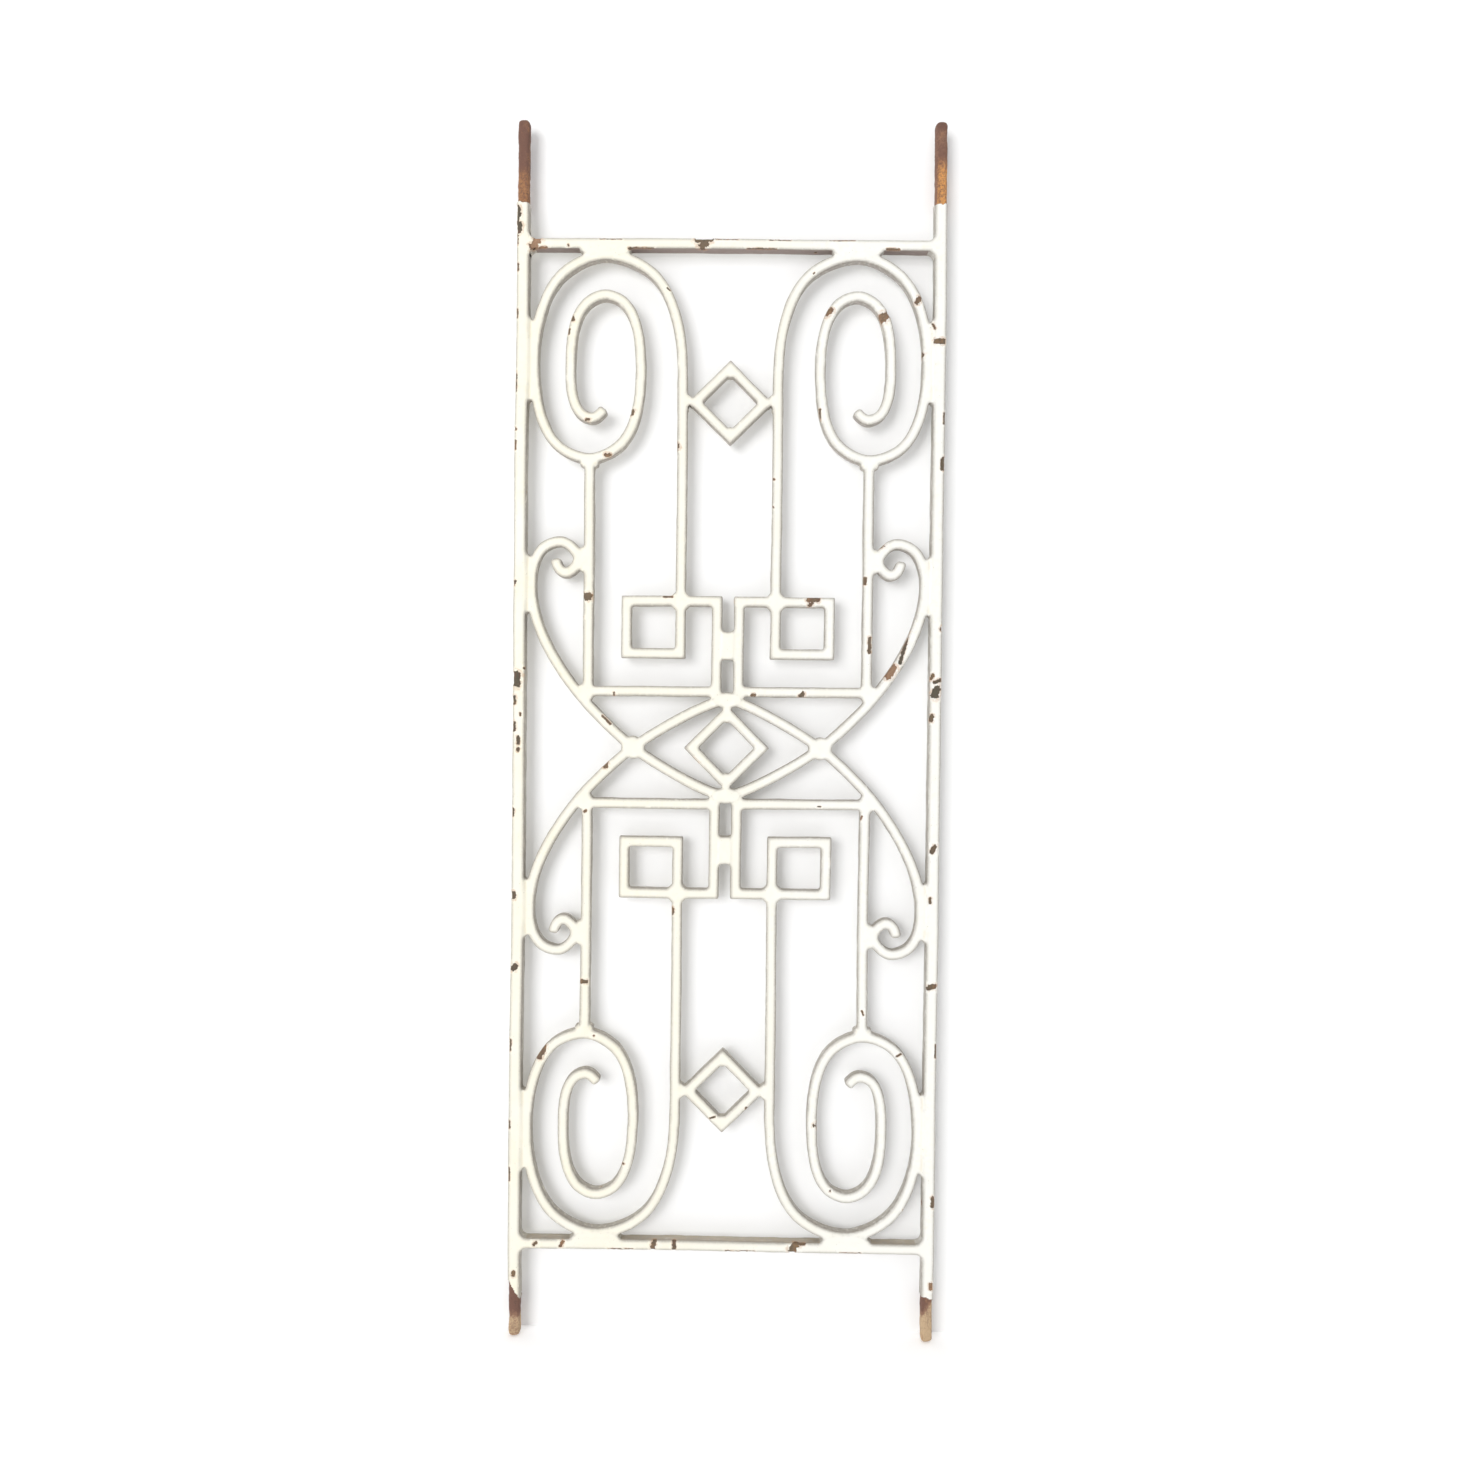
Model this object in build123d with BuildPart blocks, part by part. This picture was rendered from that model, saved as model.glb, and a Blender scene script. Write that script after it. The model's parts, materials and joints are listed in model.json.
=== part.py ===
from build123d import *
import os
from math import cos, radians, sin, sqrt

os.makedirs("parts", exist_ok=True)

# A fixed window security grille of welded square iron bar.
# X runs to the right and Z up as the grille is seen from outside; -Y is its front.
# The origin is midway between the two lower stub ends, at mid depth.

# ---- Driving dimensions, mm ------------------------------------------------------------------

stile_bar = 12.0          # square section of the two stiles
rail_height = 10.0        # rail section: this high, and as deep as the stiles
bar = 10.0                # square section of all the infill
stile_spacing = 415.0     # between the stiles' centrelines
rail_spacing = 1000.0     # between the rails' centrelines
foot_length = 95.0        # stile below the bottom rail's centreline
head_length = 123.0       # stile above the top rail's centreline
stub_round = 2.0          # rounding of the stubs' ends

# The infill is drawn for the upper right quarter, from the panel's centre, and mirrored.
upright_x = 11.0          # inner upright of the meander
stem_x = 47.5             # straight stem of the scroll
square_x = 101.0          # far side of the meander's small square
leg_x = 139.0             # outer leg of the meander
rung_z = 56.0             # long horizontal of the meander
square_base_z = 94.0      # lower side of the small square
square_top_z = 146.0      # upper side of the small square
node_z = 47.5             # height of a C-arc's middle
crossing_x = 93.5         # where the two C-arcs cross, at the panel's mid height

centre_diamond_reach = 42.3    # from a diamond's middle to its outer corner
outer_diamond_reach = 41.8
outer_diamond_z = 344.0

weld_depth = 9.0          # beads stay a little shallower than the infill bar
wash_depth = 11.0         # the heavier beads stand proud of the infill by half a millimetre
corner_weld = 7.0         # leg of the fillet beads in the frame's corners
weld_throat = 2.0         # those fillets' thickness in the corner, along each leg
crossing_bead = 11.5      # radius of the beads where the C-arcs cross
node_bead = (17.0, 9.0)   # half width and half height of the beads round the C-arcs' middles
stem_bead = (5.0, 8.0)    # and of the beads between the outer diamonds and the stems
tip_bead = 3.5            # radius of the beads inside the diamonds' top and bottom corners
bridge_low = 88.0         # heavy bead that ties the two uprights of a tier together
bridge_high = 120.0
bridge_hollow = 9.0       # radius of the dip in that bead's top

# Scroll centreline from its tip: heading in degrees, then x and z. It turns left all the way.
scroll_line = [
    (-50, 125.0, 337.0),
    (0, 137.5, 328.0),
    (45, 148.5, 332.5),
    (90, 159.5, 382.0),
    (135, 144.5, 441.5),
    (180, 126.0, 450.0),
    (225, 106.5, 442.0),
    (270, 89.5, 372.0),
    (315, 108.5, 302.0),
    (360, 139.5, 288.0),
    (405, 172.5, 302.0),
    (450, 196.0, 386.0),
    (495, 169.5, 469.5),
    (540, 125.5, 489.6),
    (585, 76.0, 469.0),
    (610, 58.5, 440.0),
    (630, stem_x, 350.0),
]

# Half of the C-arc that curls upwards, from the tip of its curl to the panel's centre line.
# It turns right all the way, and passes the crossing and its lowest point, the node.
arc_line = [
    (260, 172.0, 187.5),
    (180, 161.5, 173.5),
    (90, 149.2, 187.0),
    (0, 167.5, 205.0),
    (-45, 185.0, 198.0),
    (-90, 196.3, 163.0),
    (-120, 174.0, 90.5),
    (-135, 130.0, 33.0),
    (-143, crossing_x, 0.0),
    (-151, 50.0, -27.3),
    (-158, 20.0, -42.0),
]

# ---- Derived places ----------------------------------------------------------------------------

half_bar = bar / 2
middle_z = foot_length + rail_spacing / 2
stile_length = foot_length + rail_spacing + head_length
opening = stile_spacing - stile_bar
inner_face_x = opening / 2
rail_face_z = (rail_spacing - rail_height) / 2
mitre_reach = bar * sqrt(2)

# The grille's mid plane: sketches on it are drawn in x and height above the panel's centre.
panel = Plane(origin=(0, 0, middle_z), x_dir=(1, 0, 0), z_dir=(0, -1, 0))

sides = {"left": -1, "right": 1}
tiers = {"upper": 1, "lower": -1}
quarters = [
    (f"{tier_name}_{side_name}", side, tier)
    for tier_name, tier in tiers.items()
    for side_name, side in sides.items()
]
pieces = {}


def finish(piece, name):
    """Label a finished piece, keep it by name and write its STEP file."""
    piece.label = name
    pieces[name] = piece
    export_step(piece, f"parts/{name}.step")


def heading(degrees, side=1, tier=1):
    """Direction in the panel of a heading taken in the upper right quarter."""
    return Vector(side * cos(radians(degrees)), 0, tier * sin(radians(degrees)))


def mirrored(points, side, tier):
    """Move points from the upper right quarter to the quarter asked for."""
    return [(side * x, tier * z) for x, z in points]


def bar_outline(start, end, mitre_start=False, mitre_end=False):
    """Outline of a straight infill bar. A mitred end is long on the bar's right-hand side."""
    first = Vector(*start)
    last = Vector(*end)
    along = (last - first).normalized() * half_bar
    across = Vector(-along.Y, along.X)
    slant = along if mitre_start else Vector(0, 0)
    lean = along if mitre_end else Vector(0, 0)
    corners = [
        first + across + slant,
        first - across - slant,
        last - across + lean,
        last + across - lean,
    ]
    return [(corner.X, corner.Y) for corner in corners]


def half_diamond_outline(reach, side):
    """Right or left half of a square diamond frame, split at its top and bottom corners."""
    inner = reach - mitre_reach
    corners = [(0, reach), (reach, 0), (0, -reach), (0, -inner), (inner, 0), (0, inner)]
    return [(side * x, z) for x, z in corners]


# ---- Frame ------------------------------------------------------------------------------------

for side_name, side in sides.items():
    with BuildPart() as stile:
        with BuildSketch(Plane.XY):
            with Locations((side * stile_spacing / 2, 0)):
                Rectangle(stile_bar, stile_bar)
        extrude(amount=stile_length)
        fillet(stile.faces().filter_by(Axis.Z).edges(), radius=stub_round)
    finish(stile.part, f"{side_name}_stile")

for rail_name, tier in (("top_rail", 1), ("bottom_rail", -1)):
    with BuildPart() as rail:
        with BuildSketch(panel):
            with Locations((0, tier * rail_spacing / 2)):
                Rectangle(opening, rail_height)
        extrude(amount=stile_bar / 2, both=True)
    finish(rail.part, rail_name)

# ---- C-arcs -----------------------------------------------------------------------------------


def arc_spline(tier):
    """Centreline of a whole C-arc, from its left curl through the node to its right curl."""
    left = [(-x, tier * z) for _, x, z in arc_line]
    right = [(x, tier * z) for _, x, z in reversed(arc_line)]
    left_headings = [heading(turn, -1, tier) for turn, _, _ in arc_line]
    right_headings = [heading(turn + 180, 1, tier) for turn, _, _ in reversed(arc_line)]
    return Spline(
        *left, (0, -tier * node_z), *right,
        tangents=left_headings + [heading(0)] + right_headings,
    )


with BuildPart() as upper_arc:
    with BuildLine(panel) as centreline:
        arc_spline(1)
    with BuildSketch(Plane(centreline.line @ 0, x_dir=(0, 1, 0), z_dir=centreline.line % 0)):
        Rectangle(bar, bar)
    sweep()
finish(upper_arc.part, "upper_arc")

# The other arc is cut where it meets the first, and butted to it from both sides.
with BuildPart() as lower_arc:
    with BuildLine(panel) as centreline:
        arc_spline(-1)
    with BuildSketch(Plane(centreline.line @ 0, x_dir=(0, 1, 0), z_dir=centreline.line % 0)):
        Rectangle(bar, bar)
    sweep()
    add(upper_arc.part, mode=Mode.SUBTRACT)

for place, length in zip(("left", "middle", "right"), lower_arc.solids().sort_by(Axis.X)):
    with BuildPart() as arc_piece:
        add(length)
    finish(arc_piece.part, f"lower_arc_{place}")

# ---- Scrolls and meanders, one of each per quarter --------------------------------------------

for quarter, side, tier in quarters:
    far_arc = upper_arc if tier > 0 else lower_arc
    near_arc = lower_arc if tier > 0 else upper_arc

    with BuildPart() as key_base:
        with BuildSketch(panel):
            corners = bar_outline((stem_x, square_base_z), (square_x, square_base_z), True, True)
            Polygon(*mirrored(corners, side, tier), align=None)
        extrude(amount=half_bar, both=True)
    finish(key_base.part, f"{quarter}_key_base")

    with BuildPart() as key_side:
        with BuildSketch(panel):
            corners = bar_outline((square_x, square_base_z), (square_x, square_top_z), True, True)
            Polygon(*mirrored(corners, side, tier), align=None)
        extrude(amount=half_bar, both=True)
    finish(key_side.part, f"{quarter}_key_side")

    with BuildPart() as key_top:
        with BuildSketch(panel):
            corners = bar_outline(
                (square_x, square_top_z), (stem_x + half_bar, square_top_z), True, False
            )
            Polygon(*mirrored(corners, side, tier), align=None)
        extrude(amount=half_bar, both=True)
    finish(key_top.part, f"{quarter}_key_top")

    with BuildPart() as key_link:
        with BuildSketch(panel):
            corners = bar_outline(
                (stem_x - half_bar, square_top_z), (upright_x, square_top_z), False, True
            )
            Polygon(*mirrored(corners, side, tier), align=None)
        extrude(amount=half_bar, both=True)
    finish(key_link.part, f"{quarter}_key_link")

    # The upright's foot is coped to the C-arc whose middle it stands on.
    with BuildPart() as key_upright:
        with BuildSketch(panel):
            corners = bar_outline((upright_x, square_top_z), (upright_x, node_z), True, False)
            Polygon(*mirrored(corners, side, tier), align=None)
        extrude(amount=half_bar, both=True)
        add(near_arc.part, mode=Mode.SUBTRACT)
    finish(key_upright.part, f"{quarter}_key_upright")

    with BuildPart() as key_rung:
        with BuildSketch(panel):
            corners = bar_outline((upright_x + half_bar, rung_z), (leg_x - half_bar, rung_z))
            Polygon(*mirrored(corners, side, tier), align=None)
        extrude(amount=half_bar, both=True)
        add(near_arc.part, mode=Mode.SUBTRACT)
        add(far_arc.part, mode=Mode.SUBTRACT)
    finish(key_rung.part, f"{quarter}_key_rung")

    # The scroll's stem ends in a mitre with the base of the small square.
    with BuildPart() as scroll:
        with BuildLine(panel) as centreline:
            spiral = Spline(
                *mirrored([(x, z) for _, x, z in scroll_line], side, tier),
                tangents=[heading(turn, side, tier) for turn, _, _ in scroll_line],
            )
            Line(spiral @ 1, panel.from_local_coords((side * stem_x, tier * (square_base_z - half_bar))))
        with BuildSketch(Plane(centreline.line @ 0, x_dir=(0, 1, 0), z_dir=centreline.line % 0)):
            Rectangle(bar, bar)
        sweep()
        add(key_base.part, mode=Mode.SUBTRACT)
    finish(scroll.part, f"{quarter}_scroll")

    # The leg is coped to the C-arc below it and to the scroll above it.
    with BuildPart() as leg:
        with BuildSketch(panel):
            corners = bar_outline((leg_x, rung_z - half_bar), (leg_x, scroll_line[9][2]))
            Polygon(*mirrored(corners, side, tier), align=None)
        extrude(amount=half_bar, both=True)
        add(far_arc.part, mode=Mode.SUBTRACT)
        add(scroll.part, mode=Mode.SUBTRACT)
    finish(leg.part, f"{quarter}_leg")

# ---- Diamonds, each of two bent halves ----------------------------------------------------------

diamonds = {
    "upper": (outer_diamond_z, outer_diamond_reach),
    "centre": (0.0, centre_diamond_reach),
    "lower": (-outer_diamond_z, outer_diamond_reach),
}
for diamond_name, (height, reach) in diamonds.items():
    for side_name, side in sides.items():
        with BuildPart() as half_diamond:
            with BuildSketch(panel):
                with Locations((0, height)):
                    Polygon(*half_diamond_outline(reach, side), align=None)
            extrude(amount=half_bar, both=True)
        finish(half_diamond.part, f"{diamond_name}_diamond_{side_name}")

# ---- Weld beads ---------------------------------------------------------------------------------
# Each node holds the beads of one kind. A bead is cut back to the faces of the pieces it joins.

# Fillets in the corners between the rails and the stiles, above and below each rail.
with BuildPart() as frame_corner_welds:
    with BuildSketch(panel):
        for _, side, tier in quarters:
            for face_z, rise in ((rail_face_z, -1), (rail_face_z + rail_height, 1)):
                corner_tip = (inner_face_x, face_z)
                on_rail = (inner_face_x - corner_weld, face_z)
                on_stile = (inner_face_x, face_z + rise * corner_weld)
                throat = (inner_face_x - weld_throat, face_z + rise * weld_throat)
                with BuildLine():
                    Polyline(*mirrored([on_rail, corner_tip, on_stile], side, tier))
                    ThreePointArc(*mirrored([on_rail, throat, on_stile], side, tier))
                make_face()
    extrude(amount=wash_depth / 2, both=True)
finish(frame_corner_welds.part, "frame_corner_welds")

# Heavy beads that bridge the gap between the two uprights of each tier.
with BuildPart() as key_bridge_welds:
    with BuildSketch(panel):
        for tier in tiers.values():
            with Locations((0, tier * (bridge_low + bridge_high) / 2)):
                Rectangle(2 * (upright_x - half_bar), bridge_high - bridge_low)
            with Locations((0, tier * (bridge_high + bridge_hollow / 2))):
                Circle(bridge_hollow, mode=Mode.SUBTRACT)
    extrude(amount=wash_depth / 2, both=True)
finish(key_bridge_welds.part, "key_bridge_welds")

# Oval beads: name, (x, z) of the joint, half width, half height, depth, pieces that are joined.
scroll_top_x, scroll_top_z = scroll_line[13][1:]
scroll_side_z = scroll_line[11][2]
scroll_foot_z = scroll_line[9][2]
curl_x, curl_z = arc_line[2][1:]
curl_side_z = arc_line[5][2]
oval_beads = [
    ("scroll_rail_welds", (scroll_top_x, rail_face_z), 25, 8, wash_depth, ("rail", "scroll")),
    ("scroll_stile_welds", (inner_face_x, scroll_side_z), 7, 42, weld_depth, ("stile", "scroll")),
    ("leg_scroll_welds", (leg_x, scroll_foot_z - half_bar), 11, 7, weld_depth, ("leg", "scroll")),
    ("arc_stile_welds", (inner_face_x, curl_side_z), 7, 30, weld_depth, ("stile", "arc")),
    ("curl_leg_welds", (curl_x - half_bar, curl_z), 6, 13, weld_depth, ("leg", "arc")),
    ("arc_corner_welds", (leg_x + 2, rung_z - 1.5), 8, 10, weld_depth, ("leg", "rung", "arc")),
    ("key_cross_welds", (stem_x, square_top_z), 10, 10, weld_depth, ("top", "link", "scroll")),
]


def joined(endings):
    """Finished pieces, other than beads, with one of these words in their names."""
    return [
        piece
        for name, piece in pieces.items()
        if any(word in name for word in endings) and not name.endswith("welds")
    ]


for bead_name, place, half_width, half_height, depth, endings in oval_beads:
    with BuildPart() as beads:
        with BuildSketch(panel):
            for _, side, tier in quarters:
                with Locations(*mirrored([place], side, tier)):
                    Ellipse(half_width, half_height)
        extrude(amount=depth / 2, both=True)
        add(joined(endings), mode=Mode.SUBTRACT)
    finish(beads.part, bead_name)

# Beads on the panel's own centre lines.
with BuildPart() as arc_crossing_welds:
    with BuildSketch(panel):
        with Locations((-crossing_x, 0), (crossing_x, 0)):
            Circle(crossing_bead)
    extrude(amount=weld_depth / 2, both=True)
    add(joined(["arc"]), mode=Mode.SUBTRACT)
finish(arc_crossing_welds.part, "arc_crossing_welds")

with BuildPart() as centre_node_welds:
    with BuildSketch(panel):
        with Locations((0, node_z), (0, -node_z)):
            Ellipse(*node_bead)
    extrude(amount=wash_depth / 2, both=True)
    add(joined(["arc", "upright", "rung", "diamond"]), mode=Mode.SUBTRACT)
finish(centre_node_welds.part, "centre_node_welds")

with BuildPart() as diamond_stem_welds:
    with BuildSketch(panel):
        for _, side, tier in quarters:
            with Locations((side * outer_diamond_reach, tier * outer_diamond_z)):
                Ellipse(*stem_bead)
    extrude(amount=weld_depth / 2, both=True)
    add(joined(["scroll", "diamond"]), mode=Mode.SUBTRACT)
finish(diamond_stem_welds.part, "diamond_stem_welds")

with BuildPart() as diamond_tip_welds:
    with BuildSketch(panel):
        for height, reach in diamonds.values():
            for end in tiers.values():
                with Locations((0, height + end * (reach - mitre_reach))):
                    Circle(tip_bead)
    extrude(amount=weld_depth / 2, both=True)
    add(joined(["diamond"]), mode=Mode.SUBTRACT)
finish(diamond_tip_welds.part, "diamond_tip_welds")
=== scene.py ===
import itertools
import json
import math

import bmesh
import bpy
import numpy as np
from mathutils import Euler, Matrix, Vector
from mathutils.bvhtree import BVHTree


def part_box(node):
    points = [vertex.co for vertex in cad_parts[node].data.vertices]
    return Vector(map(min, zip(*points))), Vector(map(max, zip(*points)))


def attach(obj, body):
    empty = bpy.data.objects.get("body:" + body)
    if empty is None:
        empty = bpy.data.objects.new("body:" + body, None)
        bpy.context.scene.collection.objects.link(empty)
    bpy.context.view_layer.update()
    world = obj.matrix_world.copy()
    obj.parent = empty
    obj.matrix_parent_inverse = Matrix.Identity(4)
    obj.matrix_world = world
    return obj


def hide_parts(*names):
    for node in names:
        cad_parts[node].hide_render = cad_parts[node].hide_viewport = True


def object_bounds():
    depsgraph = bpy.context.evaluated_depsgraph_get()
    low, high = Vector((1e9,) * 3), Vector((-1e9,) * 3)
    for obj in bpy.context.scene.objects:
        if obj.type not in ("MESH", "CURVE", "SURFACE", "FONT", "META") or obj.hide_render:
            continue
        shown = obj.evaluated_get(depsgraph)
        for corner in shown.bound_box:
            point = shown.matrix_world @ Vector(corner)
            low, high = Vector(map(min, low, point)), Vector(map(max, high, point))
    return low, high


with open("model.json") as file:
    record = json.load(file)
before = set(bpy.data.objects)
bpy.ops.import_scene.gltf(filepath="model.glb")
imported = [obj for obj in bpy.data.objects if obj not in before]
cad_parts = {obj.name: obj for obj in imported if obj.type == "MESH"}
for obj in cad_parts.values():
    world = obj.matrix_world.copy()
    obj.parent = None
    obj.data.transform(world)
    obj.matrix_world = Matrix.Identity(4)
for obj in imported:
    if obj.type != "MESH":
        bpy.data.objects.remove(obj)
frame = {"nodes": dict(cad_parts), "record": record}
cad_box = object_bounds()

MM = 0.001
least_length = 1e-9       # keeps lengths off zero before they divide
nodes = frame["nodes"]
node_names = sorted(nodes)
slot_of = {part["node"]: part["material_slot"] for part in frame["record"]["subparts"]}

# ---- Places from the frame, and given heights and sizes for the rust -----------------------------

low, high = cad_box
bottom_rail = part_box("bottom_rail")
top_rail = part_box("top_rail")
right_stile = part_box("right_stile")
middle_z = (bottom_rail[0].z + top_rail[1].z) / 2
middle_y = (low.y + high.y) / 2
stile_x = (right_stile[0].x + right_stile[1].x) / 2
stile_half = (right_stile[1].x - right_stile[0].x) / 2
rail_z = (top_rail[0].z + top_rail[1].z) / 2 - middle_z
rail_half = (top_rail[1].z - top_rail[0].z) / 2
infill_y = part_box("upper_arc")[0].y
frame_y = low.y

# Bare rust starts this far above and below the middle, where the wall's mortar ended.
upper_rust_z = 541 * MM
lower_rust_z = -549 * MM
rust_line = 0.5 * MM      # half width of the step from paint to rust
foot_lean_left = 1.6      # how steeply that line leans across each foot
foot_lean_right = 0.3
stub_half = 5.7 * MM      # half width of the corroded stubs
stub_end_round = 5.0 * MM

# ---- Noise and blends ----------------------------------------------------------------------------


def lattice_noise(points, scale, seed):
    """Smooth random values in -1..1 at an array of points, with lumps about `scale` mm wide.

    Each corner of a grid has its own value, made by scrambling its place with large odd numbers.
    """
    placed = points / (scale * MM) + 31.7 * seed
    cell = np.floor(placed).astype(np.int64)
    part = placed - cell
    part = part * part * (3 - 2 * part)
    total = np.zeros(len(points))
    for corner in itertools.product((0, 1), repeat=3):
        spot = cell + corner
        mixed = (spot[:, 0] * 73856093) ^ (spot[:, 1] * 19349663) ^ (spot[:, 2] * 83492791)
        mixed = (mixed ^ (mixed >> 13)) * 1274126177 & 0xFFFFFFFF
        mixed = (mixed ^ (mixed >> 16)) * 668265263 & 0xFFFFFFFF
        value = mixed / 2**31 - 1
        share = np.where(np.array(corner, bool), part, 1 - part).prod(axis=1)
        total += value * share
    return total


def ramp(values, start, end):
    """0 at start and 1 at end, smooth between."""
    t = np.clip((values - start) / (end - start), 0, 1)
    return t * t * (3 - 2 * t)


# ---- The painted skin ----------------------------------------------------------------------------
# The bars and beads are welded and then painted as one, so the skin is grown over all of them
# together, and cut back into one piece per CAD node at the end.

skin_cell = 1.1 * MM
smooth_rounds = 4
arris_spread = 3
chip_refinements = 2
clearing_rounds = 6       # passes that clear stray faces from the pieces' borders

# Paint and years of scaling leave less of some beads to see.
bead_scale = {
    "leg_scroll_welds": 0.4,
    "diamond_stem_welds": 0.65,
    "diamond_tip_welds": 0.5,
    "curl_leg_welds": 0.8,
    "arc_crossing_welds": 0.68,
    "arc_corner_welds": 0.8,
    "key_cross_welds": 0.75,
    "centre_node_welds": 0.85,
}


def mesh_points(mesh):
    """A mesh's points as an array of x, y and z."""
    points = np.zeros(len(mesh.vertices) * 3)
    mesh.vertices.foreach_get("co", points)
    return points.reshape(-1, 3)


def mesh_normals(mesh):
    """The direction that the surface faces at each of a mesh's points."""
    normals = np.zeros(len(mesh.vertices) * 3)
    mesh.vertex_normals.foreach_get("vector", normals)
    return normals.reshape(-1, 3)


def eased_points(mesh, scale):
    """The mesh's points, with each separate solid in it shrunk in x and z about its own middle."""
    points = mesh_points(mesh)
    if scale == 1.0:
        return points.tolist()
    solid = list(range(len(points)))

    def root(vertex):
        while solid[vertex] != vertex:
            solid[vertex] = solid[solid[vertex]]
            vertex = solid[vertex]
        return vertex

    for edge in mesh.edges:
        solid[root(edge.vertices[0])] = root(edge.vertices[1])
    roots = np.array([root(vertex) for vertex in range(len(points))])
    for first in sorted(set(roots.tolist())):
        own = roots == first
        middle = (points[own].min(axis=0) + points[own].max(axis=0)) / 2
        points[own] = middle + (points[own] - middle) * (scale, 1, scale)
    return points.tolist()


def joined_cad():
    """All the CAD nodes' points and faces in one list, with each face's node number."""
    points, faces, owners = [], [], []
    for number, name in enumerate(node_names):
        mesh = nodes[name].data
        start = len(points)
        points.extend(eased_points(mesh, bead_scale.get(name, 1.0)))
        for polygon in mesh.polygons:
            faces.append([start + index for index in polygon.vertices])
            owners.append(number)
    return points, faces, np.array(owners)


def grow_skin(points, faces):
    """One closed mesh over all the pieces, its arrises eased as by many coats of paint."""
    mesh = bpy.data.meshes.new("skin")
    mesh.from_pydata(points, [], faces)
    blank = bpy.data.objects.new("skin", mesh)
    bpy.context.scene.collection.objects.link(blank)
    remesh = blank.modifiers.new("remesh", "REMESH")
    remesh.mode = "VOXEL"
    remesh.voxel_size = skin_cell
    smooth = blank.modifiers.new("smooth", "SMOOTH")
    smooth.factor = 0.5
    smooth.iterations = smooth_rounds
    graph = bpy.context.evaluated_depsgraph_get()
    grown = bpy.data.meshes.new_from_object(blank.evaluated_get(graph))
    bpy.data.objects.remove(blank)
    return grown


def face_owners(skin, points, faces, owners):
    """The CAD node nearest each face of the skin, with specks of one node inside another cleared."""
    tree = BVHTree.FromPolygons(points, faces)
    nearest = [tree.find_nearest(polygon.center)[2] for polygon in skin.polygons]
    found = owners[np.array(nearest)]
    edge_of_loop = np.zeros(len(skin.loops), np.int64)
    skin.loops.foreach_get("edge_index", edge_of_loop)
    face_of_loop = np.repeat(np.arange(len(skin.polygons)), [p.loop_total for p in skin.polygons])
    order = np.argsort(edge_of_loop, kind="stable")
    paired = face_of_loop[order]
    ranked = edge_of_loop[order]
    twin = np.flatnonzero(ranked[:-1] == ranked[1:])
    left, right = paired[twin], paired[twin + 1]
    for _ in range(clearing_rounds):
        votes = {}
        differing = found[left] != found[right]
        same = np.bincount(left[~differing], minlength=len(found))
        same += np.bincount(right[~differing], minlength=len(found))
        for here, there in ((left, right), (right, left)):
            for face, other in zip(here[differing], there[differing]):
                votes.setdefault(face, []).append(found[other])
        for face, seen in votes.items():
            common = max(set(seen), key=lambda owner: (seen.count(owner), owner))
            if seen.count(common) > same[face]:
                found[face] = common
    return found


# ---- Wear ----------------------------------------------------------------------------------------
# Chips through the paint, in mm: x and height from the panel's middle, half run along x and z,
# radius, and how far the rust under them has turned from dark (0) to tan (1). They sit on the
# front face, or on an arris where x or z is a bar's edge.

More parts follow.
